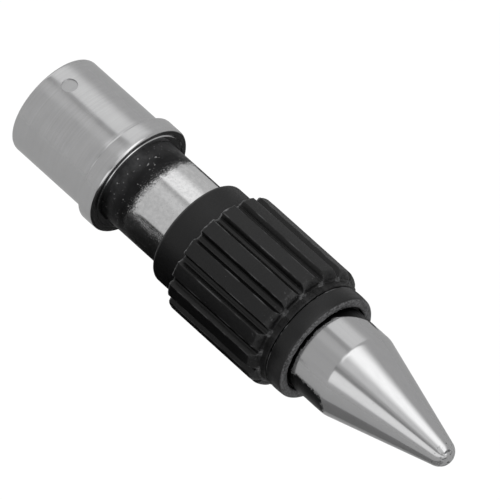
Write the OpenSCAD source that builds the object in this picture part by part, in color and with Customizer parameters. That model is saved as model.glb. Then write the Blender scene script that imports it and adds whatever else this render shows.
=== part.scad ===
// Screw-adjusted pointed foot with a swivelling conical point, lying along X.
// +X runs from the mounting bush to the point. The origin is on the axis, at the
// face of the bush's flange that seats on the arm. All sizes are in millimetres.

/* [Post and mounting bush] */
// Diameter of the chrome post and of the point's stem
post_d = 12; // [11.9:0.05:12.1]
// Bore of the post
post_bore_d = 10; // [9.8:0.1:10.2]
// Outer diameter of the bush's barrel, pressed into the arm
bush_d = 14; // [13.8:0.1:14.4]
// Length of the bush's barrel behind the flange
bush_len = 13; // [12.6:0.2:16]
// Diameter of the bush's flange
flange_d = 15.5; // [15:0.1:17]
// Thickness of the bush's flange
flange_t = 2.5; // [1.5:0.1:3.5]

/* [Knob] */
// Bare length of post between the flange and the knob at rest
knob_gap = 10.4; // [10.3:0.1:11]
// Diameter of the plain collar at the back of the knob
collar_d = 14.7; // [14.6:0.1:15.2]
// Length of the plain collar
collar_len = 4.3; // [4:0.1:5]
// Diameter over the ribs
grip_d = 17.5; // [17:0.1:18.5]
// Length of the ribs, without the rounded front edge
grip_len = 14; // [12:0.1:15]
// Number of ribs
rib_count = 16; // [10:1:20]
// Angle of the first groove from the top, about X
rib_phase = 4; // [0:1:22]
// Width of a groove at the surface
groove_w = 1.5; // [1:0.05:1.8]
// Width of a groove at its floor
groove_floor_w = 0.55; // [0.5:0.05:0.9]
// Depth of a groove
groove_depth = 0.8; // [0.4:0.05:0.9]
// Radius of the rounded front edge of the ribs
grip_round = 1.1; // [0.8:0.05:1.2]
// Length of the plain neck ahead of the ribs
neck_len = 1.1; // [0.8:0.1:1.6]
// Diameter of the neck and of the front ring
ring_d = 15.2; // [15:0.1:15.6]
// Length of the front ring
ring_len = 2.6; // [2.4:0.1:3.2]
// Mouth of the front ring, around the point's stem
ring_bore_d = 12.5; // [12.4:0.05:12.6]

/* [Point] */
// Length of the stem between the front ring and the cone
stem_len = 5.3; // [5:0.1:6]
// Angle between the cone's side and the axis
cone_angle = 15.5; // [14.5:0.1:16]
// Radius of the blunt tip
tip_r = 1.85; // [1.6:0.05:2.1]

/* [Screw] */
// Outer diameter of the spindle's thread
thread_d = 8; // [7.8:0.1:8]
// Pitch of the spindle's thread
pitch = 1.25; // [1:0.25:1.25]
// Turns from rest until the knob is fully in
turns_in = 8; // [4:1:8]
// Turns from rest until the knob is fully out
turns_out = 4; // [1:1:4]

/* [Hidden] */
$fn = 96;

BLACK = [0.06, 0.06, 0.065];
CHROME = [0.82, 0.82, 0.84];
STEEL = [0.62, 0.62, 0.63];
BRASS = [0.72, 0.55, 0.25];
BRONZE = [0.62, 0.42, 0.22];
NYLON = [0.85, 0.84, 0.78];

// Clearances
run_gap = 0.05;     // radial, between a shaft and its bore
loose_gap = 0.1;    // radial, between pieces that only pass each other
wide_gap = 0.2;     // radial, around the stop washer and the ball
end_gap = 0.3;      // along the axis, where a moving end stops short
seat_gap = 0.2;     // along the axis, between the hub and the point
cut = 1;            // how far a cutting shape runs past the solid it cuts

// Broken edges
fine_edge = 0.2;
edge = 0.3;
bush_edge = 0.5;

// Outside of the bush, the knob and the point, along X
post_r = post_d / 2;
bush_r = bush_d / 2;
flange_r = flange_d / 2;
mark_r = post_r + 0.85;     // the fine ring turned in the flange's face
mark_depth = 0.15;
mark_half_w = 0.1;
collar_r = collar_d / 2;
collar_bore_r = post_r + 0.15;
flange_x = flange_t;
collar_x = flange_x + knob_gap;
grip_x = collar_x + collar_len;
neck_x = grip_x + grip_len + grip_round;
ring_x = neck_x + neck_len;
ring_end_x = ring_x + ring_len;
cone_x = ring_end_x + stem_len;
grip_r = grip_d / 2;
grip_rear_edge = 0.25;
groove_lip = 0.05;          // how far below the surface a groove's sides start to slope
neck_edge = 0.15;
ring_r = ring_d / 2;
ring_round = 0.45;
tip_ball_x = cone_x + (post_r - tip_r / cos(cone_angle)) / tan(cone_angle);

// Knob hub, which carries the grip, the ring and the spindle
hub_r = 7.1;
hub_spigot_r = 6.7;
hub_spigot_len = 1.3;
hub_floor_t = 3;
hub_bore_r = post_r + loose_gap;
hub_front_x = ring_x + hub_spigot_len;
hub_floor_x = hub_front_x - hub_floor_t;
hub_pin_d = 1.1;
hub_pin_x = ring_x + hub_spigot_len / 2;

// Liner that guides the knob on the post, and the wiper behind it
liner_r = post_r + 0.5;
liner_len = 8;
wiper_r = 6.85;
wiper_x = collar_x + 0.6;
washer_x = wiper_x + 1.1;
liner_x = washer_x + 0.4;

// Threaded insert in the post's front end, and the stop behind it
insert_head_t = 1.2;
insert_len = 10;
insert_front_x = hub_floor_x - turns_in * pitch - end_gap;
post_end_x = insert_front_x - insert_head_t;
insert_x = post_end_x - insert_len;
drag_len = 1.4;
drag_r = 4.9;
spindle_x = insert_x - turns_out * pitch - loose_gap;
stop_washer_t = 1.2;
stop_head_t = 1.8;
stop_head_r = 2.75;
stop_hex_d = 2.9;
stop_hex_depth = 1.1;
stop_thread_r = 1.5;
stop_thread_len = 7;
stop_end_gap = 0.5;
stop_washer_x = spindle_x - stop_washer_t;
stop_head_x = stop_washer_x - stop_head_t;
bush_back_x = -bush_len;
post_pin_x = bush_back_x + 3;
post_pin_d = 2;
post_pin_short = 0.4;       // how much shorter the pin is than the barrel is wide
plug_t = 1.4;
plug_dimple_r = 0.9;

// Spindle nose, and what carries the point on it
journal_r = 3;
nose_r = 2.5;
nose_len = 9.2;
nose_x = hub_front_x + nose_len;
nose_groove_r = 2;
socket_r = 3.2;
swivel_bush_len = 4;
ball_r = 2;
ball_gap = 0.02;
ball_x = nose_x + ball_gap + ball_r;
pocket_end_x = ball_x + ball_r + ball_gap;
point_x = hub_front_x + seat_gap;
snap_x = hub_front_x + 3.9;
snap_t = 0.6;
snap_r = 3.45;
snap_opening = 2.2;
swivel_bush_end_x = nose_x - loose_gap;
seal_wire_r = 0.33;
seal_step_r = 5.5;
seal_step_len = 0.7;
seal_ring_r = seal_step_r + seal_wire_r + 0.02;

// Points [radius, x] along an arc from angle a to angle b, measured from the radial line
function arc(centre_r, centre_x, r, a, b, steps = 8) =
  [for (i = [0:steps]) let (t = a + (b - a) * i / steps)
    [centre_r + r * cos(t), centre_x + r * sin(t)]];

// A solid turned about X, from points [radius, x]
module turned(points) rotate([0, 90, 0]) rotate_extrude() polygon(points);

// A plain ring about X
module tube(r_in, r_out, x0, x1)
  turned([[r_in, x0], [r_out, x0], [r_out, x1], [r_in, x1]]);

// A plain rod about X
module rod(r, x0, x1) turned([[0, x0], [r, x0], [r, x1], [0, x1]]);

// A rod about X with both ends chamfered
module chamfered_rod(r, x0, x1, c)
  turned([[0, x0], [r - c, x0], [r, x0 + c], [r, x1 - c], [r - c, x1], [0, x1]]);

// A rod across the axis, along Z
module cross_rod(d, x, len) translate([x, 0, 0]) cylinder(d = d, h = len, center = true);

// ---- Fixed body: bush, post and threaded insert ----

// Turned steel bush with a flange, pressed into the arm
module mount_bush() color(STEEL) difference() {
  turned([
    [post_r, bush_back_x], [bush_r - bush_edge, bush_back_x], [bush_r, bush_back_x + bush_edge],
    [bush_r, 0], [flange_r - fine_edge, 0], [flange_r, fine_edge],
    [flange_r, flange_x - edge], [flange_r - edge, flange_x],
    [mark_r + mark_half_w, flange_x], [mark_r, flange_x - mark_depth],
    [mark_r - mark_half_w, flange_x], [post_r, flange_x]
  ]);
  cross_rod(post_pin_d, post_pin_x, 2 * bush_d);
}

// Chromed post that the knob telescopes over
module post() color(CHROME) difference() {
  tube(post_bore_d / 2, post_r, bush_back_x, post_end_x);
  cross_rod(post_pin_d, post_pin_x, 2 * bush_d);
}

// Brass nut for the spindle, pressed into the post's front end
module thread_insert() color(BRASS) difference() {
  union() {
    rod(post_bore_d / 2, insert_x, post_end_x);
    chamfered_rod(post_r - loose_gap, post_end_x, insert_front_x, fine_edge);
  }
  rod(thread_d / 2 + run_gap, insert_x - cut, insert_front_x + cut);
  rod(drag_r, insert_front_x - drag_len, insert_front_x + cut);
}

// Nylon ring that takes up the thread's play
module drag_ring() color(NYLON)
  tube(thread_d / 2 + run_gap, drag_r, insert_front_x - drag_len, insert_front_x);

// Dowel through bush and post
module post_pin() color(STEEL) cross_rod(post_pin_d, post_pin_x, bush_d - post_pin_short);

// Plug that closes the back of the post
module top_plug() color(BLACK) difference() {
  chamfered_rod(post_bore_d / 2, bush_back_x, bush_back_x + plug_t, fine_edge);
  translate([bush_back_x, 0, 0]) sphere(r = plug_dimple_r);
}

// ---- Screw body: everything that turns with the knob ----

// Threaded spindle with a journal in the hub and a plain nose for the point
module spindle() color(STEEL) difference() {
  union() {
    chamfered_rod(thread_d / 2, spindle_x, hub_floor_x, edge);
    rod(journal_r, hub_floor_x - cut, hub_front_x);
    chamfered_rod(nose_r, hub_front_x - cut, nose_x, edge);
  }
  rod(stop_thread_r, spindle_x - cut, spindle_x + stop_thread_len);
  tube(nose_groove_r, nose_r + cut, snap_x - snap_t / 2 - loose_gap, snap_x + snap_t / 2 + loose_gap);
  cross_rod(hub_pin_d, hub_pin_x, 2 * hub_r);
}

// Washer on the spindle's back end, which stops the knob from unscrewing
module stop_washer() color(STEEL)
  tube(stop_thread_r, post_bore_d / 2 - wide_gap, spindle_x - stop_washer_t, spindle_x);

// Screw that holds the stop washer
module stop_screw() color(STEEL) difference() {
  union() {
    chamfered_rod(stop_head_r, stop_head_x, stop_washer_x, fine_edge);
    rod(stop_thread_r, stop_washer_x - fine_edge, spindle_x + stop_thread_len - stop_end_gap);
  }
  translate([stop_head_x - cut, 0, 0]) rotate([0, 90, 0])
    cylinder(d = stop_hex_d, h = stop_hex_depth + cut, $fn = 6);
}

// Steel hub inside the knob
module knob_hub() color(STEEL) difference() {
  union() {
    rod(hub_r, grip_x, ring_x);
    rod(hub_spigot_r, ring_x - cut, hub_front_x);
  }
  rod(liner_r, grip_x - cut, liner_x + liner_len);
  rod(hub_bore_r, grip_x - cut, hub_floor_x);
  rod(journal_r, hub_floor_x - cut, hub_front_x + cut);
  cross_rod(hub_pin_d, hub_pin_x, 3 * hub_r);
}

// Pin that locks the spindle in the hub, covered by the front ring
module hub_pin() color(STEEL) cross_rod(hub_pin_d, hub_pin_x, 2 * (hub_spigot_r - run_gap));

// Plain bearing that guides the knob on the post
module guide_liner() color(NYLON) tube(post_r + run_gap, liner_r, liner_x, liner_x + liner_len);

// Moulded ribbed grip, with a rounded front edge and a plain neck
module grip_sleeve() color(BLACK) difference() {
  turned(concat(
    [[hub_r, grip_x], [grip_r - grip_rear_edge, grip_x], [grip_r, grip_x + grip_rear_edge]],
    arc(grip_r - grip_round, neck_x - grip_round, grip_round, 0, 80),
    [[ring_r, neck_x], [ring_r, ring_x - neck_edge], [ring_r - neck_edge, ring_x], [hub_r, ring_x]]
  ));
  for (i = [0:rib_count - 1]) rotate([rib_phase + i * 360 / rib_count, 0, 0]) groove();
}

// One groove between two ribs, running out through the rounded front edge
module groove()
  translate([grip_x - cut, 0, 0]) rotate([90, 0, 90])
    linear_extrude(height = grip_len + grip_round + cut + neck_len / 2)
      polygon([
        [-groove_floor_w / 2, grip_r - groove_depth], [groove_floor_w / 2, grip_r - groove_depth],
        [groove_w / 2, grip_r - groove_lip], [groove_w / 2, grip_r + cut],
        [-groove_w / 2, grip_r + cut], [-groove_w / 2, grip_r - groove_lip]
      ]);

// Plain collar behind the ribs, with the wiper's pocket inside
module rear_collar() color(BLACK) difference() {
  turned([
    [collar_bore_r, collar_x], [collar_r - edge, collar_x], [collar_r, collar_x + edge],
    [collar_r, grip_x], [collar_bore_r, grip_x]
  ]);
  rod(wiper_r, wiper_x, liner_x);
  rod(liner_r, washer_x, grip_x + cut);
}

// Rubber ring that wipes the post
module wiper_ring() color(BLACK) tube(post_r + run_gap, wiper_r, wiper_x, washer_x);

// Washer that backs the wiper
module wiper_washer() color(STEEL) tube(post_r + loose_gap, wiper_r, washer_x, liner_x);

// Ring at the front of the knob, around the point's stem
module front_ring() color(BLACK) difference() {
  turned(concat(
    [[ring_bore_d / 2, ring_x], [ring_r - fine_edge, ring_x], [ring_r, ring_x + fine_edge]],
    arc(ring_r - ring_round, ring_end_x - ring_round, ring_round, 0, 90, 6),
    [[ring_bore_d / 2, ring_end_x]]
  ));
  rod(hub_spigot_r, ring_x - cut, hub_front_x);
}

// ---- Ball between the spindle's nose and the point ----

module thrust_ball() color(STEEL) translate([ball_x, 0, 0]) sphere(r = ball_r);

// ---- Point body ----

// Chromed conical point on its stem, bored from the back for the spindle's nose
module point() color(CHROME) difference() {
  turned(concat(
    [[0, point_x], [seal_step_r, point_x], [seal_step_r, point_x + seal_step_len],
      [post_r, point_x + seal_step_len], [post_r, cone_x]],
    arc(0, tip_ball_x, tip_r, cone_angle, 90, 12)
  ));
  rod(socket_r, point_x - cut, nose_x);
  rod(ball_r + wide_gap, nose_x - cut, pocket_end_x);
  rod(snap_r + run_gap, snap_x - snap_t / 2 - run_gap, snap_x + snap_t / 2 + run_gap);
}

// Bronze bush that the nose turns in
module swivel_bush() color(BRONZE)
  tube(nose_r + run_gap, socket_r, swivel_bush_end_x - swivel_bush_len, swivel_bush_end_x);

// Open ring that keeps the point on the nose
module snap_ring() color(STEEL) difference() {
  tube(nose_groove_r + loose_gap, snap_r, snap_x - snap_t / 2, snap_x + snap_t / 2);
  translate([snap_x, 0, snap_r]) cube([2 * cut, snap_opening, 2 * snap_r], center = true);
}

// Rubber ring that keeps the grease in around the stem
module point_seal() color(BLACK)
  translate([point_x + seal_step_len / 2, 0, 0]) rotate([0, 90, 0])
    rotate_extrude() translate([seal_ring_r, 0]) circle(r = seal_wire_r, $fn = 48);

mount_bush();
post();
thread_insert();
drag_ring();
post_pin();
top_plug();
spindle();
stop_washer();
stop_screw();
knob_hub();
hub_pin();
guide_liner();
grip_sleeve();
rear_collar();
wiper_ring();
wiper_washer();
front_ring();
thrust_ball();
point();
swivel_bush();
snap_ring();
point_seal();
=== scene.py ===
"""Looks of a screw-adjusted pointed foot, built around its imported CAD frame.

The axis lies along X, with the conical point towards +X. Lengths below are in
millimetres and are scaled by MM; places come from the CAD nodes. A turn about
the axis is measured from +Z towards -Y, in degrees for materials and lights and
in radians for meshes.
"""
import math

import bmesh
import bpy
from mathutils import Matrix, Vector, noise


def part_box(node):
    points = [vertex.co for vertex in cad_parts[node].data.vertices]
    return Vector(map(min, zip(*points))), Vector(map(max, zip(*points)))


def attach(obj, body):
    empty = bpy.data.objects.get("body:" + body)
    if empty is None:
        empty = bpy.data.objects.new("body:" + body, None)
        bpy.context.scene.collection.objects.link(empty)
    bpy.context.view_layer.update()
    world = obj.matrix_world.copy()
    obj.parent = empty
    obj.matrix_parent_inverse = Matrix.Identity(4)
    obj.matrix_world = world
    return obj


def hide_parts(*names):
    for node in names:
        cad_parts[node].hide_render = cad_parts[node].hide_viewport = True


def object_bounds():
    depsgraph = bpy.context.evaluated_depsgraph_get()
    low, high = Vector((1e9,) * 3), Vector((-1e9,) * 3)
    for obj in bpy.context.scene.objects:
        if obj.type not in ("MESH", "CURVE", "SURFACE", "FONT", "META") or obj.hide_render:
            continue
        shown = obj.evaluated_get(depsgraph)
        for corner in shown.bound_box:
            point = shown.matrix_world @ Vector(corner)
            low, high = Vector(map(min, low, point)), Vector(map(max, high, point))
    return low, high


MM = 0.001

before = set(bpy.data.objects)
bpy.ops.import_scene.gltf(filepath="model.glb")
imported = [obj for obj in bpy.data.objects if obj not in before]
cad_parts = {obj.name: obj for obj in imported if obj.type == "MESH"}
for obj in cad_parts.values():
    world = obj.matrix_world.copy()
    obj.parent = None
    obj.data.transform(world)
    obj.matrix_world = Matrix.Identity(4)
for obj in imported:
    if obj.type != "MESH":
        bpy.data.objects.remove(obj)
cad_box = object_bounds()

# ---- Camera ----
VIEW_AZIMUTH = 47.8         # degrees
VIEW_ELEVATION = 54.5       # degrees
CAMERA_DISTANCE = 1.6       # metres
LENS_PER_METRE = 599        # millimetres of lens for each metre of distance
AIM_SHARE = 0.461           # how far along the object the camera looks
AIM_RAISE = 2.74            # millimetres across the axis, up and to the right in the view

# ---- Stage ----
FLOOR_DROP = 80             # below the object
FLOOR_SIZE = 6              # metres
FLOOR_GREY = 0.56
FLOOR_GLOW = 1.04           # what the camera sees of the floor
FLOOR_GLOW_SHARE = 0.97     # the rest is the lit floor, with the object's shadow
CARD_ROUGHNESS = 0.9        # of the floor and the flags
PALE = (1.0, 1.0, 1.0)

# ---- Meshes ----
TURNS = 256                 # segments round a turned piece
CORNER_STEPS = 5            # segments in a rounded corner
SHARP_ANGLE = 32            # degrees between two faces, from which their edge isn't shaded smooth


def reach(node):
    """The largest distance of a CAD node from the axis, in millimetres."""
    return max(math.hypot(v.co.y, v.co.z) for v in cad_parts[node].data.vertices) / MM


def span(node):
    """Where a CAD node starts and ends along the axis, in millimetres."""
    low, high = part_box(node)
    return low.x / MM, high.x / MM


POST_R = reach("post")
FLANGE_R = reach("mount_bush")
COLLAR_R = reach("rear_collar")
GRIP_R = reach("grip_sleeve")
RING_R = reach("front_ring")
STEM_R = reach("point")
PLUG_R = reach("top_plug")
HUB_R = reach("knob_hub")
BUSH_X, FLANGE_X = span("mount_bush")
POST_X, POST_END_X = span("post")
COLLAR_X, GRIP_X = span("rear_collar")
RING_X, RING_END_X = span("front_ring")
POINT_X, TIP_X = span("point")
PLUG_X, PLUG_END_X = span("top_plug")


# ======================= Shapes =======================

def rounded(corners, steps=CORNER_STEPS):
    """Points (x, r) of a closed outline from corners (x, r, radius)."""
    points = []
    count = len(corners)
    for i, (x, r, radius) in enumerate(corners):
        here = Vector((x, r))
        if radius == 0:
            points.append((x, r))
            continue
        before = (Vector(corners[i - 1][:2]) - here).normalized()
        after = (Vector(corners[(i + 1) % count][:2]) - here).normalized()
        half = before.angle(after) / 2
        reach_back = radius / math.tan(half)
        centre = here + (before + after).normalized() * (radius / math.sin(half))
        start = here + before * reach_back - centre
        turn = start.angle_signed(here + after * reach_back - centre)
        for k in range(steps + 1):
            a = -turn * k / steps
            spun = Vector((start.x * math.cos(a) - start.y * math.sin(a),
                           start.x * math.sin(a) + start.y * math.cos(a)))
            points.append(tuple(centre + spun))
    return points


def split(points, longest):
    """The closed outline with no stretch longer than longest."""
    result = []
    for i, (x, r) in enumerate(points):
        nx, nr = points[(i + 1) % len(points)]
        parts = max(1, math.ceil(math.hypot(nx - x, nr - r) / longest))
        result += [(x + (nx - x) * k / parts, r + (nr - r) * k / parts) for k in range(parts)]
    return result


def mesh_object(name, vertices, faces, material, sharp=SHARP_ANGLE):
    """A smooth-shaded object from vertices in millimetres, sharp where it bends more than sharp."""
    mesh = bpy.data.meshes.new(name)
    mesh.from_pydata([(x * MM, y * MM, z * MM) for x, y, z in vertices], [], faces)
    mesh.validate()
    mesh.shade_smooth()
    mesh.set_sharp_from_angle(angle=math.radians(sharp))
    mesh.materials.append(material)
    piece = bpy.data.objects.new(name, mesh)
    bpy.context.scene.collection.objects.link(piece)
    return piece


def turned(name, outline, material, turns=TURNS, worn=None, longest=1.2):
    """A solid turned about the axis from a closed outline of (x, r). Points at r = 0 become one vertex.
    worn(x, r, turn), with the turn in radians, may return a shift (along x, outwards) in millimetres."""
    points = split(outline, longest)
    vertices = []
    rings = []
    for x, r in points:
        if r < 1e-6:
            rings.append([len(vertices)])
            vertices.append((x, 0.0, 0.0))
            continue
        ring = []
        for k in range(turns):
            a = 2 * math.pi * k / turns
            dx, dr = worn(x, r, a) if worn else (0, 0)
            ring.append(len(vertices))
            vertices.append((x + dx, -(r + dr) * math.sin(a), (r + dr) * math.cos(a)))
        rings.append(ring)
    faces = []
    for i, ring in enumerate(rings):
        after = rings[(i + 1) % len(rings)]
        if len(ring) == 1 and len(after) == 1:
            continue
        for k in range(turns):
            m = (k + 1) % turns
            if len(ring) == 1:
                faces.append((ring[0], after[m], after[k]))
            elif len(after) == 1:
                faces.append((ring[k], ring[m], after[0]))
            else:
                faces.append((ring[k], ring[m], after[m], after[k]))
    piece = mesh_object(name, vertices, faces, material)
    face_outwards(piece)
    return piece


def face_outwards(piece):
    """Turns a closed mesh's faces to look outwards."""
    work = bmesh.new()
    work.from_mesh(piece.data)
    bmesh.ops.recalc_face_normals(work, faces=work.faces)
    work.to_mesh(piece.data)
    work.free()


def uneven(x, r, turn, size, seed):
    """Smooth noise from -1 to 1 at a place on a turned surface, with features of that size."""
    place = Vector((x, r * math.sin(turn), r * math.cos(turn))) / size
    return noise.noise(place + Vector((seed * 17.3, seed * 5.1, seed * 9.7)))


# ======================= Materials =======================

class Paint:
    """A material's nodes, in millimetres about the object's axis."""

    def __init__(self, name, metallic, specular=0.5):
        self.material = bpy.data.materials.new(name)
        self.material.use_nodes = True
        self.tree = self.material.node_tree
        self.shader = self.tree.nodes["Principled BSDF"]
        self.shader.inputs["Metallic"].default_value = metallic
        self.shader.inputs["Specular IOR Level"].default_value = specular
        self.height = None
        place = self.tree.nodes.new("ShaderNodeTexCoord").outputs["Object"]
        self.place = self.scaled(place, (1 / MM, 1 / MM, 1 / MM))
        parts = self.tree.nodes.new("ShaderNodeSeparateXYZ")
        self.tree.links.new(self.place, parts.inputs[0])
        self.x, self.y, self.z = parts.outputs
        square = self.plus(self.times(self.y, self.y), self.times(self.z, self.z))
        self.radius = self.math("SQRT", square)
        self.turn = self.turned_to(self.y, self.z)

    def turned_to(self, y, z):
        """The turn about the axis of the direction (y, z), in degrees."""
        return self.math("DEGREES", self.math("ARCTAN2", self.times(y, -1.0), z))

    def link(self, value, socket):
        if isinstance(value, bpy.types.NodeSocket):
            self.tree.links.new(value, socket)
        else:
            socket.default_value = value

    def math(self, operation, a, b=0.0):
        node = self.tree.nodes.new("ShaderNodeMath")
        node.operation = operation
        self.link(a, node.inputs[0])
        self.link(b, node.inputs[1])
        return node.outputs[0]

    def times(self, a, b):
        return self.math("MULTIPLY", a, b)

    def plus(self, a, b):
        return self.math("ADD", a, b)

    def less(self, a):
        """What is left of 1 without a."""
        return self.math("SUBTRACT", 1.0, a)

    def scaled(self, vector, scale):
        node = self.tree.nodes.new("ShaderNodeVectorMath")
        node.operation = "MULTIPLY"
        self.tree.links.new(vector, node.inputs[0])
        node.inputs[1].default_value = scale
        return node.outputs[0]

    def noise(self, size, detail=3.0, roughness=0.55, stretch=(1, 1, 1), seed=0.0):
        """Noise from 0 to 1 with features of size millimetres, longer where stretch is above 1."""
        node = self.tree.nodes.new("ShaderNodeTexNoise")
        node.noise_dimensions = "4D"
        node.inputs["W"].default_value = seed
        node.inputs["Scale"].default_value = 1.0
        node.inputs["Detail"].default_value = detail
        node.inputs["Roughness"].default_value = roughness
        scale = tuple(1 / (size * s) for s in stretch)
        self.tree.links.new(self.scaled(self.place, scale), node.inputs["Vector"])
        return node.outputs[0]

    def rings(self, size, detail=3.0, seed=0.0):
        """Noise that only changes along the axis and outwards, as turning leaves it."""
        node = self.tree.nodes.new("ShaderNodeTexNoise")
        node.noise_dimensions = "4D"
        node.inputs["W"].default_value = seed
        node.inputs["Scale"].default_value = 1 / size
        node.inputs["Detail"].default_value = detail
        joined = self.tree.nodes.new("ShaderNodeCombineXYZ")
        self.tree.links.new(self.x, joined.inputs[0])
        self.tree.links.new(self.radius, joined.inputs[1])
        self.tree.links.new(joined.outputs[0], node.inputs["Vector"])
        return node.outputs[0]

    def rise(self, value, low, high):
        """0 below low and 1 above high, smooth between. Where low is above high it falls from 1 to 0."""
        node = self.tree.nodes.new("ShaderNodeMapRange")
        node.interpolation_type = "SMOOTHSTEP"
        falls = low > high
        self.link(value, node.inputs["Value"])
        node.inputs["From Min"].default_value = min(low, high)
        node.inputs["From Max"].default_value = max(low, high)
        node.inputs["To Min"].default_value = 1.0 if falls else 0.0
        node.inputs["To Max"].default_value = 0.0 if falls else 1.0
        return node.outputs["Result"]

    def band(self, value, low, high, soft):
        """1 between low and high, falling to 0 over soft on both sides."""
        return self.times(self.rise(value, low - soft, low), self.rise(value, high + soft, high))

    def speckled(self, value, size, spread, seed):
        """0 where value is well below 0 and 1 where it is well above. Between, it is specks of that size
        in millimetres, which thin out over about spread on both sides, in value's own units."""
        specks = self.plus(self.noise(size, detail=3, roughness=0.8, seed=seed), -0.5)
        return self.rise(self.plus(self.times(value, 0.22 / spread), specks), -0.06, 0.06)

    def mix(self, share, a, b):
        """Colour a where share is 0 and b where it is 1."""
        node = self.tree.nodes.new("ShaderNodeMix")
        node.data_type = "RGBA"
        self.link(share, node.inputs["Factor"])
        for value, socket in ((a, node.inputs["A"]), (b, node.inputs["B"])):
            self.link(value if isinstance(value, bpy.types.NodeSocket) else (*value, 1.0), socket)
        return node.outputs["Result"]

    def blend(self, share, a, b):
        """Number a where share is 0 and b where it is 1."""
        node = self.tree.nodes.new("ShaderNodeMix")
        node.data_type = "FLOAT"
        self.link(share, node.inputs["Factor"])
        self.link(a, node.inputs["A"])
        self.link(b, node.inputs["B"])
        return node.outputs["Result"]

    def colour(self, value):
        self.link(value, self.shader.inputs["Base Color"])

    def roughness(self, value):
        self.link(value, self.shader.inputs["Roughness"])

    def relief(self, height, depth):
        """Adds fine relief of that depth in millimetres."""
        node = self.tree.nodes.new("ShaderNodeBump")
        node.inputs["Distance"].default_value = depth * MM
        self.link(height, node.inputs["Height"])
        if self.height is not None:
            self.tree.links.new(self.height, node.inputs["Normal"])
        self.height = node.outputs["Normal"]
        self.tree.links.new(self.height, self.shader.inputs["Normal"])


# Black of the grease, also used for painted dark reflections
GREASE_AND_PAINTED_REFLECTION_BLACK = (0.012, 0.012, 0.0125)
# Lighter grey for the painted sheen on the post's grease
GREASE_SHEEN_GREY = (0.09, 0.09, 0.092)
DULL = (0.16, 0.16, 0.165)
PIT = (0.35, 0.35, 0.355)
SPARK = (0.75, 0.75, 0.75)
# Lighter plastic for wear and for painted highlights
WORN_AND_HIGHLIGHT_PLASTIC = (0.22, 0.22, 0.225)

# Where the point is greasy and worn, and where it is painted dark as a painted reflection of the ring's
# black face, in degrees of turn and millimetres along the axis
PATCH_TURN = 76             # where the stem's patch of grease starts
PATCH_END_TURN = 128        # where it ends, close to the ring
PATCH_TAPER = 3.5           # degrees that its end loses for each millimetre ahead
PATCH_OVER_CONE = 0.25      # how far the patch runs onto the cone
ROOT_LEN = 0.28             # the black line in front of the ring
CRESCENT_TURN = 12          # where the black crescent, a painted reflection of the ring's face, starts past the top on the far side
CRESCENT_END_TURN = 88
CRESCENT_LEN = 0.42         # how far ahead of the ring it reaches where it starts
CRESCENT_GROWTH = 0.046     # millimetres that it gains for each further degree
NICKED_LEN = (1.9, 0.9)     # the nicks fade in between these distances from the tip

# Where the post is greasy, and where it is painted dark down one side as a painted reflection
BAND_LEN = 4.3              # the black band in front of the flange
SIDE_TURN = 92              # the middle of the side painted dark, a painted reflection
SIDE_HALF = 30


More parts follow.
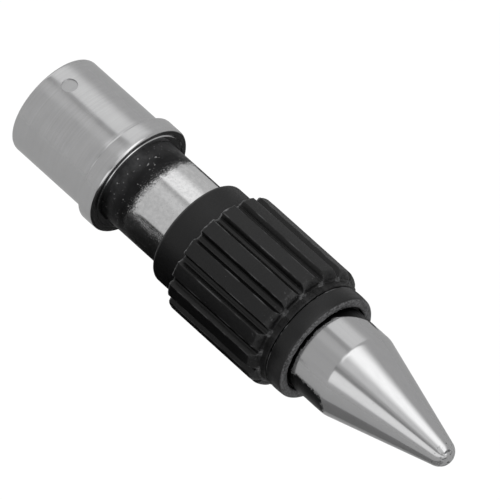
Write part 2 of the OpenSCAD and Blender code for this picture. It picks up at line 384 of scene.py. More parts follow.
def chrome_point():
    """Bright plate with long fine streaks and a few pits, greasy at the root, nicks at the tip, and a
    painted dark reflection of the ring's face on the stem's far side.
    """
    p = Paint("chrome_point", 1.0)
    streaks = p.noise(0.5, detail=4, stretch=(30, 1, 1), seed=1)
    cloud = p.noise(2.5, seed=2)
    pits = p.rise(p.noise(0.16, detail=1, seed=3), 0.72, 0.78)
    plate = p.mix(streaks, (0.585, 0.585, 0.59), (0.67, 0.67, 0.675))
    plate = p.mix(pits, plate, PIT)
    ragged = p.plus(p.noise(1.3, detail=5, roughness=0.7, seed=4), -0.5)
    back = p.times(p.x, -1.0)

    # The patch of grease down one side of the stem
    low_side = p.plus(p.plus(p.turn, -PATCH_TURN), p.times(ragged, 30.0))
    low_side = p.speckled(low_side, 0.22, 5.0, 5)
    far_turn = p.plus(PATCH_END_TURN, p.times(p.plus(p.x, -RING_END_X), -PATCH_TAPER))
    far_side = p.plus(p.math("SUBTRACT", far_turn, p.turn), p.times(ragged, 60.0))
    far_side = p.speckled(far_side, 0.3, 10.0, 9)
    before_cone = p.plus(p.plus(back, CONE_X + PATCH_OVER_CONE), p.times(ragged, 3.0))
    before_cone = p.speckled(before_cone, 0.2, 0.35, 10)
    patch = p.times(p.times(low_side, far_side), before_cone)

    # The black line all round the stem, close to the ring
    root = p.plus(p.plus(back, RING_END_X + ROOT_LEN), p.times(ragged, 1.0))
    root = p.speckled(root, 0.16, 0.2, 11)

    # The painted reflection of the ring's black face: a dark crescent on the far side of the stem, with a
    # few painted bright specks
    upper = p.math("MAXIMUM", p.times(p.plus(p.turn, CRESCENT_TURN), -1.0), 0.0)
    limit = p.plus(RING_END_X + CRESCENT_LEN, p.times(upper, CRESCENT_GROWTH))
    limit = p.plus(limit, p.times(ragged, 0.5))
    painted_ring_reflection = p.rise(p.math("SUBTRACT", p.x, limit), 0.12, -0.08)
    painted_ring_reflection = p.times(painted_ring_reflection, p.band(p.turn, -CRESCENT_END_TURN, -CRESCENT_TURN, 8.0))
    sparkle = p.times(painted_ring_reflection, p.rise(p.noise(0.45, detail=1, seed=12), 0.74, 0.78))
    # Real grease (patch and root) and the painted reflection (crescent) share one black colour and
    # roughness
    grease_and_painted_reflection = p.math("MAXIMUM", p.math("MAXIMUM", patch, root), painted_ring_reflection)

    tip = p.rise(p.x, TIP_X - NICKED_LEN[0], TIP_X - NICKED_LEN[1])
    nicks = p.rise(p.noise(0.42, detail=3, roughness=0.6, stretch=(1, 2.2, 0.7), seed=6), 0.56, 0.62)
    nicks = p.times(tip, nicks)

    p.colour(p.mix(sparkle, p.mix(nicks, p.mix(grease_and_painted_reflection, plate, GREASE_AND_PAINTED_REFLECTION_BLACK), DULL), PALE))
    rough = p.plus(0.10, p.plus(p.times(cloud, 0.07), p.times(streaks, 0.05)))
    p.roughness(p.blend(grease_and_painted_reflection, p.plus(rough, p.times(nicks, 0.3)), 0.38))
    p.relief(p.rings(0.16, seed=7), 0.0006)
    p.relief(p.times(grease_and_painted_reflection, p.noise(0.45, detail=4, seed=8)), 0.04)
    p.relief(p.less(nicks), 0.03)
    return p.material


def chrome_post():
    """Bright plate, mottled, greasy black near the flange with a painted sheen there, and painted dark down
    one side as a painted reflection.
    """
    p = Paint("chrome_post", 1.0)
    mottle = p.noise(0.55, detail=6, roughness=0.7, seed=11)
    specks = p.rise(p.noise(0.22, detail=2, seed=12), 0.66, 0.72)
    plate = p.mix(p.rise(mottle, 0.3, 0.7), (0.82, 0.82, 0.825), (0.99, 0.99, 0.99))
    plate = p.mix(p.times(specks, 0.55), plate, PIT)
    ragged = p.plus(p.noise(1.6, detail=4, roughness=0.6, seed=13), -0.5)

    # The grease band in front of the flange, and the side painted dark as a painted reflection
    band = p.plus(p.plus(p.times(p.x, -1.0), FLANGE_X + BAND_LEN), p.times(ragged, 1.6))
    band = p.speckled(band, 0.14, 1.1, 14)
    side = p.times(p.math("ABSOLUTE", p.plus(p.turn, -SIDE_TURN)), -1.0)
    side = p.plus(side, p.plus(SIDE_HALF, p.times(ragged, 14.0)))
    side = p.times(p.speckled(side, 0.15, 8.0, 17), 0.85)
    in_front = p.rise(p.x, FLANGE_X - 0.4, FLANGE_X)
    grease_and_painted_reflection = p.times(p.math("MAXIMUM", band, side), in_front)

    # Painted sheen: the grease is painted a lighter grey in mottled patches, most strongly near the flange
    shine = p.noise(0.9, detail=3, seed=18)
    sparkle = p.rise(p.noise(0.34, detail=2, stretch=(0.7, 1, 1), seed=15), 0.67, 0.71)
    sheen_near_flange = p.rise(p.plus(p.x, ragged), FLANGE_X + 2.6, FLANGE_X + 1.0)
    painted_grease_sheen = p.mix(p.times(p.plus(0.35, sheen_near_flange), shine), GREASE_AND_PAINTED_REFLECTION_BLACK, GREASE_SHEEN_GREY)
    p.colour(p.mix(p.times(grease_and_painted_reflection, sparkle), p.mix(grease_and_painted_reflection, plate, painted_grease_sheen), SPARK))
    p.roughness(p.blend(grease_and_painted_reflection, p.plus(0.08, p.times(mottle, 0.12)), p.plus(0.30, p.times(shine, 0.3))))
    p.relief(mottle, 0.003)
    p.relief(p.times(grease_and_painted_reflection, shine), 0.08)
    return p.material


def turned_steel(name, light, roughness, seed):
    """Machined metal with fine rings and a faint cloud of darker metal."""
    p = Paint(name, 1.0)
    rings = p.rings(0.12, seed=seed)
    cloud = p.noise(1.8, detail=4, seed=seed + 1)
    dark = tuple(c * 0.72 for c in light)
    p.colour(p.mix(p.plus(p.times(rings, 0.6), p.times(cloud, 0.4)), dark, light))
    p.roughness(p.plus(roughness, p.times(cloud, 0.14)))
    p.relief(rings, 0.004)
    return p.material


def moulded_black(name, tone, roughness, seed, wear, painted_shade=None):
    """Black moulded plastic with a fine grain. wear(p) gives the share of lighter surface: worn, and on the
    grip also painted highlights;
    grime(p) gives the share painted darker and smoother, as painted shade in recesses."""
    p = Paint(name, 0.0, specular=0.46)
    grain = p.noise(0.20, detail=3, roughness=0.7, seed=seed)
    haze = p.noise(3.0, detail=3, seed=seed + 1)
    light = tuple(c * 2.2 for c in tone)
    base = p.mix(haze, tone, light)
    grit = p.plus(p.times(haze, 0.09), p.times(p.rise(grain, 0.36, 0.64), 0.14))
    if painted_shade:
        # Painted shade: the share from grime(p) is painted darker and made smoother
        shaded = painted_shade(p)
        base = p.mix(shaded, base, tuple(c * 0.2 for c in tone))
        grit = p.blend(shaded, grit, 0.06)
    # The lighter share: wear, and on the grip also painted highlights
    worn = wear(p)
    p.colour(p.mix(worn, base, WORN_AND_HIGHLIGHT_PLASTIC))
    p.roughness(p.plus(grit, p.blend(worn, roughness, 0.62)))
    p.relief(grain, 0.02)
    return p.material


def groove_wave(p):
    """1 along the middle of each groove and -1 along the middle of each rib."""
    return p.math("COSINE", p.math("RADIANS", p.times(p.plus(p.turn, -RIB_PHASE), RIB_COUNT)))


def grip_wear_and_highlights(p):
    """The ribs' worn rear edge, painted highlights on the lips at the grooves' ends, rib edges painted
    lighter as wear and as a painted highlight, scuffs and specks.
    """
    ragged = p.noise(0.55, detail=4, roughness=0.7, seed=31)
    rear = p.rise(p.plus(p.x, p.times(ragged, 0.6)), GRIP_X + 0.60, GRIP_X + 0.42)
    rear_share = p.rise(p.noise(0.9, detail=4, seed=32), 0.35, 0.6)
    rear = p.times(rear, p.plus(0.25, p.times(rear_share, 0.75)))

    specks = p.times(p.rise(p.noise(0.20, detail=1, seed=33), 0.75, 0.79), 0.4)

    wave = groove_wave(p)
    # Painted highlight: the rounded ends of the groove floors, where they run onto the neck, are painted
    # lighter
    lip_highlight = p.times(p.band(p.x, NECK_X - 0.05, NECK_X + FLOOR_END, 0.12), p.rise(wave, 0.30, 0.60))
    lip_highlight_share = p.rise(p.noise(0.5, detail=3, seed=35), 0.40, 0.60)
    lip_highlight = p.times(lip_highlight, p.plus(0.10, p.times(lip_highlight_share, 0.30)))

    # Rib edges painted lighter: wear, and a painted highlight where they catch light
    side = p.times(p.band(wave, 0.08, 0.22, 0.12), p.rise(p.radius, GRIP_R - 0.12, GRIP_R - 0.04))
    side_share = p.rise(p.noise(0.8, detail=4, stretch=(3, 1, 1), seed=36), 0.45, 0.62)
    side = p.times(side, p.times(side_share, 0.30))

    front = p.band(p.x, RIB_END_X - 0.3, NECK_X, 0.4)
    scuff_share = p.rise(p.noise(0.5, detail=4, roughness=0.7, seed=34), 0.56, 0.72)
    scuff = p.times(p.times(front, scuff_share), 0.30)

    marks = p.math("MAXIMUM", p.math("MAXIMUM", specks, side), p.math("MAXIMUM", lip_highlight, scuff))
    return p.math("MAXIMUM", rear, marks)


def grip_painted_groove_shade(p):
    """The inside of the grooves, up to where the ribs end, painted darker as painted shade."""
    grooves = p.times(p.rise(groove_wave(p), -0.05, 0.25), p.rise(p.x, NECK_X, RIB_END_X))
    return p.times(grooves, p.rise(p.radius, GRIP_R - 0.02, GRIP_R - 0.16))


def ring_wear(p):
    """The worn rear edge, the grey granular end face and the lighter edge of the mouth."""
    line = p.plus(p.x, p.times(p.noise(0.4, detail=3, seed=41), 0.3))
    line = p.rise(line, RING_X + 0.38, RING_X + 0.28)
    line = p.times(line, p.rise(p.noise(1.5, detail=3, seed=42), 0.45, 0.65))

    grit = p.rise(p.noise(0.26, detail=2, roughness=0.8, seed=43), 0.38, 0.66)
    face = p.times(p.rise(p.x, RING_END_X - 0.22, RING_END_X - 0.05), p.plus(0.14, grit))

    mouth = p.plus(p.radius, p.times(p.noise(0.5, detail=4, seed=44), 0.5))
    mouth = p.rise(mouth, MOUTH_R + 0.55, MOUTH_R + 0.3)
    mouth = p.times(mouth, p.rise(p.x, RING_END_X - 0.5, RING_END_X - 0.3))

    ends = p.math("MAXIMUM", p.times(face, 0.78), p.times(mouth, 0.45))
    return p.math("MAXIMUM", p.times(line, 0.95), ends)


def collar_wear(p):
    """A soft lighter rim at the collar's rear edge."""
    rim = p.rise(p.x, COLLAR_X + 0.5, COLLAR_X + 0.1)
    return p.times(rim, p.times(p.noise(0.6, detail=4, seed=51), 0.6))


def smooth_plastic(name, tone, roughness, seed):
    """Rubber or nylon with a faint cloud and grain."""
    p = Paint(name, 0.0, specular=0.4)
    cloud = p.noise(1.2, detail=4, seed=seed)
    p.colour(p.mix(cloud, tone, tuple(min(1.0, c * 1.35) for c in tone)))
    p.roughness(p.plus(roughness, p.times(cloud, 0.15)))
    p.relief(p.noise(0.2, detail=3, seed=seed + 1), 0.01)
    return p.material


# ======================= Pieces =======================

FACE_GAP = 0.02             # keeps two faces that meet from lying in each other

# ---- Point ----
CONE_ANGLE = math.radians(15.5)
TIP_R = 1.85
TIP_BALL_X = TIP_X - TIP_R
CONE_X = TIP_BALL_X - (STEM_R - TIP_R / math.cos(CONE_ANGLE)) / math.tan(CONE_ANGLE)
CONE_BLEND = 2.6            # radius of the soft break between stem and cone
BALL_POCKET_R = 2.2
SOCKET_R = 3.2
SEAL_STEP_R = 5.5
SEAL_STEP_LEN = 0.7
NOSE_X = span("spindle")[1]
POCKET_END_X = span("thrust_ball")[1] + FACE_GAP

# ---- Bush ----
BARREL_R = 7.0
UNDERCUT = 0.25             # width and depth of the groove behind the flange
FLANGE_MARK_R = POST_R + 0.85   # the fine ring turned in the flange's face
FLANGE_MARK_HALF = 0.12
FLANGE_MARK_DEPTH = 0.15

# ---- Knob ----
SPIGOT_R = 6.7              # the hub's spigot, which carries the front ring
MOUTH_R = 6.25
RING_CROWN = 0.12           # how much lower the front ring is at its ends than in its middle
RING_CROWN_LEN = 1.1        # from the ring's rear to its highest place
RIB_COUNT = 16
RIB_PHASE = 4.0             # degrees
GROOVE_W = 1.5
GROOVE_FLOOR_W = 0.55
GROOVE_DEPTH = 0.80
LAND_SAG = 0.035            # the lands are nearly flat, a little lower in the middle
FLOOR_END = 0.22            # how far a groove floor's rounded end runs onto the neck
GRIP_ROUND = 1.1
GRIP_REAR_EDGE = 0.22
NECK_LEN = 1.1
NECK_X = RING_X - NECK_LEN
RIB_END_X = NECK_X - GRIP_ROUND


def make_point(material):
    """The conical point on its stem, bored for the spindle's nose."""
    arc_steps = 14
    tip = []
    for k in range(arc_steps + 1):
        a = CONE_ANGLE + (math.pi / 2 - CONE_ANGLE) * k / arc_steps
        tip.append((TIP_BALL_X + TIP_R * math.sin(a), TIP_R * math.cos(a), 0))
    tip[-1] = (TIP_X, 0, 0)
    outline = rounded([
        (POCKET_END_X, 0, 0), (POCKET_END_X, BALL_POCKET_R, 0), (NOSE_X, BALL_POCKET_R, 0),
        (NOSE_X, SOCKET_R, 0), (POINT_X, SOCKET_R, 0.1), (POINT_X, SEAL_STEP_R, 0.1),
        (POINT_X + SEAL_STEP_LEN, SEAL_STEP_R, 0), (POINT_X + SEAL_STEP_LEN, STEM_R, 0.1),
        (CONE_X, STEM_R, CONE_BLEND), *tip
    ], steps=8)

    def dings(x, r, turn):
        near = max(0.0, min(1.0, (x - (TIP_X - 1.3)) / 0.8))
        if near == 0 or r < 0.05:
            return 0, 0
        dent = min(0.0, uneven(x, r, turn, 0.45, 3) + 0.18)
        return 0.22 * near * dent, 0.10 * near * dent

    return turned("point_body", outline, material, worn=dings, longest=0.8)


def make_post(material):
    """The tube that the knob slides over, bored to the plug's size."""
    outline = rounded([
        (POST_X, PLUG_R, 0.1), (POST_X, POST_R, 0.15), (POST_END_X, POST_R, 0.25), (POST_END_X, PLUG_R, 0.1)
    ])
    return turned("post_tube", outline, material)


def make_bush(material):
    """The flanged bush, with a fine ring turned in the flange's face, and drilled for the pin."""
    bore = POST_R + 0.005
    undercut_r = BARREL_R - UNDERCUT
    outline = rounded([
        (BUSH_X, bore, 0.1), (BUSH_X, BARREL_R, 0.45),
        (-UNDERCUT, BARREL_R, 0.1), (-UNDERCUT, undercut_r, 0.05), (0, undercut_r, 0.05),
        (0, FLANGE_R, 0.2), (FLANGE_X, FLANGE_R, 0.3),
        (FLANGE_X, FLANGE_MARK_R + FLANGE_MARK_HALF, 0.03),
        (FLANGE_X - FLANGE_MARK_DEPTH, FLANGE_MARK_R, 0.03),
        (FLANGE_X, FLANGE_MARK_R - FLANGE_MARK_HALF, 0.03), (FLANGE_X, bore, 0.12)
    ])
    bush = turned("bush_body", outline, material)
    pin_x, pin_end_x = span("post_pin")
    drill(bush, (pin_x + pin_end_x) / 2, (pin_end_x - pin_x) / 2 + 0.01, 4 * FLANGE_R)
    return bush


def drill(piece, x, radius, length):
    """Cuts a round hole through a piece, across the axis and along Z, at x."""
    tool_mesh = bpy.data.meshes.new("drill")
    work = bmesh.new()
    bmesh.ops.create_cone(work, cap_ends=True, segments=48, radius1=radius * MM, radius2=radius * MM,
                          depth=length * MM)
    bmesh.ops.translate(work, verts=work.verts, vec=(x * MM, 0, 0))
    work.to_mesh(tool_mesh)
    work.free()
    tool = bpy.data.objects.new("drill", tool_mesh)
    bpy.context.scene.collection.objects.link(tool)
    cut = piece.modifiers.new("hole", "BOOLEAN")
    cut.operation = "DIFFERENCE"
    cut.solver = "EXACT"
    cut.object = tool
    bpy.context.view_layer.update()
    drilled = piece.evaluated_get(bpy.context.evaluated_depsgraph_get())
    mesh = bpy.data.meshes.new_from_object(drilled)
    piece.modifiers.clear()
    whole = piece.data
    piece.data = mesh
    mesh.shade_smooth()
    mesh.set_sharp_from_angle(angle=math.radians(SHARP_ANGLE))
    bpy.data.objects.remove(tool)
    bpy.data.meshes.remove(tool_mesh)
    bpy.data.meshes.remove(whole)


def make_plug(material):
    """The rubber plug in the post's back end, with a shallow dimple."""
    dimple = 0.9
    side = PLUG_R - FACE_GAP
    steps = 8
    arc = []
    for k in range(steps + 1):
        a = math.pi / 2 * k / steps
        arc.append((PLUG_X + dimple * math.cos(a), dimple * math.sin(a), 0))
    outline = rounded([(PLUG_END_X, 0, 0), *arc, (PLUG_X, side, 0.25), (PLUG_END_X, side, 0.15)])
    return turned("plug_body", outline, material, turns=128)


def make_collar(material):
    """The plain collar behind the ribs, with the wiper's pocket."""
    wiper_r = reach("wiper_ring")
    liner_r = reach("guide_liner")
    mouth = POST_R + 0.15
    wiper_x = span("wiper_ring")[0]
    liner_x = span("guide_liner")[0]
    outline = rounded([
        (COLLAR_X, mouth, 0.15), (COLLAR_X, COLLAR_R, 0.4), (GRIP_X, COLLAR_R, 0.05),
        (GRIP_X, liner_r, 0.05), (liner_x, liner_r, 0), (liner_x, wiper_r, 0), (wiper_x, wiper_r, 0),
        (wiper_x, mouth, 0.1)
    ])

    def scuffs(x, r, turn):
        return 0, 0.012 * uneven(x, r, turn, 1.5, 5)

    return turned("collar_body", outline, material, worn=scuffs)


def make_ring(material):
    """The front ring, slightly crowned, with a softly rounded edge and a worn mouth."""
    rear_x = RING_X + FACE_GAP
    end_r = RING_R - RING_CROWN
    crown_round = 9
    front_x = span("knob_hub")[1]
    outline = rounded([
        (rear_x, SPIGOT_R, 0.05), (rear_x, end_r, 0.2), (RING_X + RING_CROWN_LEN, RING_R, crown_round),
        (RING_END_X, end_r, 0.42), (RING_END_X, MOUTH_R, 0.26), (front_x, MOUTH_R, 0),
        (front_x, SPIGOT_R, 0)
    ], steps=7)

    def chips(x, r, turn):
        near = max(0.0, 1 - abs(x - RING_END_X) / 0.4) * max(0.0, 1 - abs(r - MOUTH_R) / 0.6)
        back = 0.10 * near * max(0.0, uneven(x, r, turn, 0.8, 8))
        outwards = 0.06 * near * max(0.0, uneven(x, r, turn, 0.6, 9))
        return -back, outwards

    return turned("ring_body", outline, material, worn=chips, longest=0.4)


def groove_section():
    """Points (across, depth, on_floor) of one period, from a groove's middle to the next one's.
    Across is measured on the grip's surface, and depth from it inwards. Also gives the period's width."""
    half_period = math.pi * GRIP_R / RIB_COUNT
    top = GROOVE_W / 2
    outside = -5            # closes the outline clear of the surface
    corners = [(0, GROOVE_DEPTH, 0), (GROOVE_FLOOR_W / 2, GROOVE_DEPTH, 0.16), (top, 0, 0.06),
               (half_period, 0, 0), (half_period, outside, 0), (0, outside, 0)]
    curve = split(rounded(corners, steps=6)[:-2], 0.12)[:-1]
    half = []
    for across, depth in curve:
        if across > half_period + 1e-6 or depth < -1e-6:
            continue
        share = max(0.0, min(1.0, (across - top) / (half_period - top)))
        on_floor = across <= GROOVE_FLOOR_W / 2 + 0.02
        half.append((across, depth + LAND_SAG * math.sin(math.pi / 2 * share), on_floor))
    period = 2 * half_period
    mirrored = [(period - across, depth, on_floor) for across, depth, on_floor in reversed(half[:-1])]
    return half + mirrored[:-1], period


def grip_spokes():
    """Every point round the grip's section, as (turn, depth, on_floor, middle), with the turn in radians.
    middle is the distance from the nearest groove's middle."""
    section, period = groove_section()
    spokes = []
    for i in range(RIB_COUNT):
        for across, depth, on_floor in section:
            turn = math.radians(RIB_PHASE) + (across / period + i) * 2 * math.pi / RIB_COUNT
            spokes.append((turn, depth, on_floor, min(across, period - across)))
    return spokes


def grip_stations():
    """Every ring of the grip's outside from the rear to the front, as (x, drop below the ribs' tops)."""
    stations = []
    edge_steps = 6
    for k in range(1, edge_steps + 1):
        a = math.pi / 2 * k / edge_steps
        stations.append((GRIP_X + GRIP_REAR_EDGE * (1 - math.cos(a)), GRIP_REAR_EDGE * (1 - math.sin(a))))
    body_steps = 26
    first = GRIP_X + GRIP_REAR_EDGE
    for k in range(1, body_steps):
        stations.append((first + (RIB_END_X - first) * k / body_steps, 0.0))
    arc_steps = 18
    for k in range(arc_steps + 1):
        a = math.radians(80) * k / arc_steps
        stations.append((RIB_END_X + GRIP_ROUND * math.sin(a), GRIP_ROUND * (1 - math.cos(a))))
    neck_steps = 13
    neck_drop = GRIP_R - RING_R
    neck_start = stations[-1][1]
    for k in range(1, neck_steps + 1):
        share = 0.9 * k / neck_steps
        fall = math.sin(math.pi / 2 * min(1.0, share / 0.14))
        stations.append((NECK_X + NECK_LEN * share, neck_start + (neck_drop - neck_start) * fall))
    stations.append((NECK_X + NECK_LEN * 0.96, neck_drop + 0.05))
    stations.append((RING_X, neck_drop + 0.14))
    return stations


def floor_end(x, middle):
    """The radius of the floor's rounded end where it runs onto the neck, or 0 away from it."""
    across = middle / (GROOVE_FLOOR_W / 2 + 0.03)
    end_x = NECK_X + FLOOR_END * math.sqrt(max(0.0, 1 - across ** 2))
    back = end_x - x
    if x < RIB_END_X or back <= 0:
        return 0.0
    rise = min(1.0, back / 0.15)
    floor_r = GRIP_R - GROOVE_DEPTH
    return RING_R + (floor_r - RING_R) * math.sqrt(max(0.0, 1 - (1 - rise) ** 2)) - 0.01


def grip_surface(x, drop, turn, depth):
    """The radius of the grip's outside, with its worn ends."""
    r = min(GRIP_R - drop, GRIP_R - depth)
    wear = uneven(x, r, turn, 1.1, 21)
    near_rear = max(0.0, 1 - (x - GRIP_X) / 0.7)
    near_front = max(0.0, 1 - abs(x - RIB_END_X - 0.4) / 0.9)
    fine = uneven(x, r, turn, 0.45, 22)
    return r - 0.004 + 0.003 * wear - 0.035 * near_rear * abs(fine) - 0.02 * near_front * abs(fine)


def grip_ring(spokes, x, radius_of):
    """One ring of the grip's vertices, from radius_of(turn, depth)."""
    near_rear = max(0.0, 1 - (x - GRIP_X) / 1.0)
    ring = []
    for turn, depth, on_floor, middle in spokes:
        r = radius_of(turn, depth)
        if on_floor:
            r = max(r, floor_end(x, middle))
        shift = 0.16 * near_rear * abs(uneven(GRIP_X, r, turn, 0.6, 23)) if near_rear else 0.0
        ring.append((x + shift, -r * math.sin(turn), r * math.cos(turn)))
    return ring


def make_grip(material):
    """The ribbed grip: a grid of rings along the axis, cut by the grooves, rounded in front."""
    inner = HUB_R + 0.005
    spokes = grip_spokes()

    def rear_face(share):
        def radius_of(turn, depth):
            outer = min(GRIP_R - GRIP_REAR_EDGE, GRIP_R - depth - 0.06)
            return inner + share * (outer - inner)
        return radius_of

    rings = [grip_ring(spokes, GRIP_X, rear_face(share)) for share in (0.0, 0.35, 0.7, 0.92)]
    for x, drop in grip_stations():
        rings.append(grip_ring(spokes, x, lambda turn, depth: grip_surface(x, drop, turn, depth)))
    rings.append(grip_ring(spokes, RING_X, lambda turn, depth: inner + 0.1))
    rings.append(grip_ring(spokes, RING_X - 0.1, lambda turn, depth: inner))

    vertices = [vertex for ring in rings for vertex in ring]
    faces = []
    count = len(spokes)
    for i in range(len(rings)):
        here = i * count
        ahead = (i + 1) % len(rings) * count
        for k in range(count):
            m = (k + 1) % count
            faces.append((here + k, here + m, ahead + m, ahead + k))
    piece = mesh_object("grip_body", vertices, faces, material, sharp=38)
    face_outwards(piece)
    return piece


# ======================= Build =======================

def show(piece, body, slot, *nodes):
    """Puts a piece on its body, in place of the CAD nodes, which it hides. slot is not used."""
    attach(piece, body)
    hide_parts(*nodes)


def repaint(node, material):
    """Gives a CAD node that stays in view its material."""
    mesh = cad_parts[node].data
    mesh.materials.clear()
    mesh.materials.append(material)


plain_black = (0.003, 0.003, 0.0032)
bush_steel = turned_steel("bush_steel", (0.78, 0.78, 0.785), 0.12, 61)
collar_black = moulded_black("collar_black", plain_black, 0.36, 71, collar_wear)
grip_black = moulded_black("grip_black", plain_black, 0.27, 73, grip_wear_and_highlights, grip_painted_groove_shade)
ring_black = moulded_black("ring_black", plain_black, 0.27, 75, ring_wear)
rubber = smooth_plastic("black_rubber", (0.018, 0.018, 0.018), 0.6, 65)
nylon = smooth_plastic("nylon", (0.62, 0.60, 0.54), 0.45, 87)
steel = turned_steel("steel", (0.6, 0.6, 0.605), 0.24, 81)
brass = turned_steel("brass", (0.80, 0.58, 0.27), 0.22, 83)
bronze = turned_steel("bronze", (0.62, 0.40, 0.22), 0.4, 85)

show(make_point(chrome_point()), "point", "chrome", "point")
show(make_post(chrome_post()), "mount", "chrome", "post")
show(make_bush(bush_steel), "mount", "bush_steel", "mount_bush")
show(make_plug(rubber), "mount", "black_rubber", "top_plug")
show(make_collar(collar_black), "screw", "collar_black", "rear_collar")
show(make_grip(grip_black), "screw", "grip_black", "grip_sleeve")
show(make_ring(ring_black), "screw", "ring_black", "front_ring")

for material, nodes in (
    (steel, ("post_pin", "spindle", "stop_washer", "stop_screw", "knob_hub", "hub_pin", "wiper_washer",
             "thrust_ball", "snap_ring")),
    (nylon, ("drag_ring", "guide_liner")),
    (rubber, ("wiper_ring", "point_seal")),
    (brass, ("thread_insert",)),
    (bronze, ("swivel_bush",)),
):
    for node in nodes:
        repaint(node, material)


# ======================= Studio =======================

def make_camera():
    """A long lens from far away, with the object a little off the view's centre."""
    a, e = math.radians(VIEW_AZIMUTH), math.radians(VIEW_ELEVATION)
    back = Vector((math.sin(a) * math.cos(e), -math.cos(a) * math.cos(e), math.sin(e)))
    across = Vector((1, 0, 0)).cross(back).normalized() * -1
    low, high = cad_box
    aim = Vector((low.x + (high.x - low.x) * AIM_SHARE, 0, 0)) + across * AIM_RAISE * MM
    data = bpy.data.cameras.new("camera")
    data.lens = LENS_PER_METRE * CAMERA_DISTANCE
    data.sensor_width = 36
    data.clip_start = 0.1
    data.clip_end = 50
    camera = bpy.data.objects.new("camera", data)
    camera.location = aim + back * CAMERA_DISTANCE
    camera.rotation_mode = "QUATERNION"
    camera.rotation_quaternion = (-back).to_track_quat("-Z", "Y")
    bpy.context.scene.collection.objects.link(camera)
    bpy.context.scene.camera = camera


def plane(name, corners, material):
    """A flat piece of the stage with four corners, in metres."""
    mesh = bpy.data.meshes.new(name)
    mesh.from_pydata(corners, [], [(0, 1, 2, 3)])
    mesh.materials.append(material)
    piece = bpy.data.objects.new(name, mesh)
    bpy.context.scene.collection.objects.link(piece)
    return piece


def make_floor():
    """A pale matte floor, which the camera sees nearly white."""
    material = bpy.data.materials.new("floor")
    material.use_nodes = True
    tree = material.node_tree
    matte = tree.nodes["Principled BSDF"]
    matte.inputs["Base Color"].default_value = (FLOOR_GREY, FLOOR_GREY, FLOOR_GREY, 1)
    matte.inputs["Roughness"].default_value = CARD_ROUGHNESS
    glow = tree.nodes.new("ShaderNodeEmission")
    glow.inputs["Color"].default_value = (*PALE, 1)
    glow.inputs["Strength"].default_value = FLOOR_GLOW
    path = tree.nodes.new("ShaderNodeLightPath")
    share = tree.nodes.new("ShaderNodeMath")
    share.operation = "MULTIPLY"
    share.inputs[1].default_value = FLOOR_GLOW_SHARE
    tree.links.new(path.outputs["Is Camera Ray"], share.inputs[0])
    both = tree.nodes.new("ShaderNodeMixShader")
    tree.links.new(share.outputs[0], both.inputs[0])
    tree.links.new(matte.outputs[0], both.inputs[1])
    tree.links.new(glow.outputs[0], both.inputs[2])
    tree.links.new(both.outputs[0], tree.nodes["Material Output"].inputs["Surface"])
    z = cad_box[0].z - FLOOR_DROP * MM
    half = FLOOR_SIZE / 2
    plane("floor", [(-half, -half, z), (half, -half, z), (half, half, z), (-half, half, z)], material)


# A softbox is (turn range, soft edges, x range, soft edge, strength, bow): where its light comes
# from round the axis in degrees, and along it as the direction's x part. A negative strength
# makes a dark stripe.
SURROUND = 0.47
AHEAD = (-0.22, 2.0)
BEHIND = (-2.0, -0.36)
SOFTBOXES = [
    ((-20, -6), (30, 20), AHEAD, 0.09, 0.72, 0.014),
    ((-20, 26), (25, 6), AHEAD, 0.09, 0.27, 0.08),
    ((4, 17), (8, 9), (-0.30, -0.08), 0.07, 0.38, 0.03),
    ((50, 73), (4, 6), (-0.12, 2.0), 0.05, 0.56, 0.03),
    ((40, 45), (5, 4), AHEAD, 0.10, -0.20, 0.0),
    ((-45, -18), (26, 6), BEHIND, 0.08, 0.34, 0.0),
    ((-13, -8), (4, 7), BEHIND, 0.08, -0.11, 0.0),
    ((2, 14), (6, 10), BEHIND, 0.08, 0.07, 0.0),
]


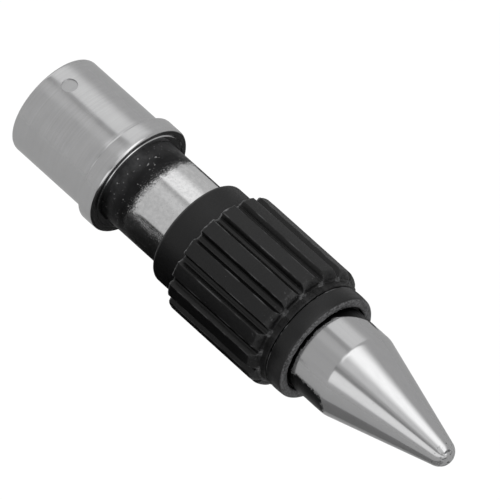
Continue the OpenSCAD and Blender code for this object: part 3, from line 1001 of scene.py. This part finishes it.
class Sky(Paint):
    """The studio's light as a function of direction, with Paint's short node calls."""

    def __init__(self, world):
        world.use_nodes = True
        self.tree = world.node_tree
        direction = self.tree.nodes.new("ShaderNodeTexCoord").outputs["Generated"]
        parts = self.tree.nodes.new("ShaderNodeSeparateXYZ")
        self.tree.links.new(direction, parts.inputs[0])
        self.x, self.y, self.z = parts.outputs
        self.turn = self.turned_to(self.y, self.z)

    def softbox(self, turns, edges, x_range, x_edge, strength, bow):
        """One light. bow curves its ends, which lie further ahead away from its middle."""
        middle, half = (turns[0] + turns[1]) / 2, (turns[1] - turns[0]) / 2
        off_middle = self.times(self.plus(self.turn, -middle), 1 / half)
        bowed = self.times(self.times(off_middle, off_middle), -bow)
        wide = self.times(self.rise(self.turn, turns[0] - edges[0], turns[0]),
                          self.rise(self.turn, turns[1] + edges[1], turns[1]))
        long = self.band(self.plus(self.x, bowed), x_range[0], x_range[1], x_edge)
        return self.times(self.times(wide, long), strength)


def make_sky():
    """The surrounding light and the softboxes. The camera sees plain white behind the object."""
    scene = bpy.context.scene
    if scene.world is None:
        scene.world = bpy.data.worlds.new("studio")
    sky = Sky(scene.world)
    total = SURROUND
    for box in SOFTBOXES:
        total = sky.plus(total, sky.softbox(*box))
    path = sky.tree.nodes.new("ShaderNodeLightPath").outputs["Is Camera Ray"]
    seen = sky.blend(path, total, 1.0)
    background = sky.tree.nodes["Background"]
    background.inputs["Color"].default_value = (*PALE, 1)
    sky.tree.links.new(seen, background.inputs["Strength"])


# A flag is (name, grey, x range, turn range, distance from the axis).
FLAGS = [
    ("arm_flag", 0.03, (0.5, 29.5), (75, 180), 22),
    ("back_flag", 0.04, (-3, 30), (-180, -112), 24),
    ("cone_flag", 0.30, (10, 110), (118, 160), 48),
]


def make_flag(name, grey, x_range, turns, distance):
    """A card beside the object, which shades it and shows in its reflections. The camera doesn't see it."""
    material = bpy.data.materials.new(name)
    material.use_nodes = True
    shader = material.node_tree.nodes["Principled BSDF"]
    shader.inputs["Base Color"].default_value = (grey, grey, grey, 1)
    shader.inputs["Roughness"].default_value = CARD_ROUGHNESS
    corners = []
    for i, k in ((0, 0), (1, 0), (1, 1), (0, 1)):
        a = math.radians(turns[k])
        corners.append((x_range[i] * MM, -distance * math.sin(a) * MM, distance * math.cos(a) * MM))
    flag = plane(name, corners, material)
    flag.visible_camera = False


make_camera()
make_floor()
make_sky()
for flag in FLAGS:
    make_flag(*flag)
bpy.context.scene.view_settings.view_transform = "Standard"
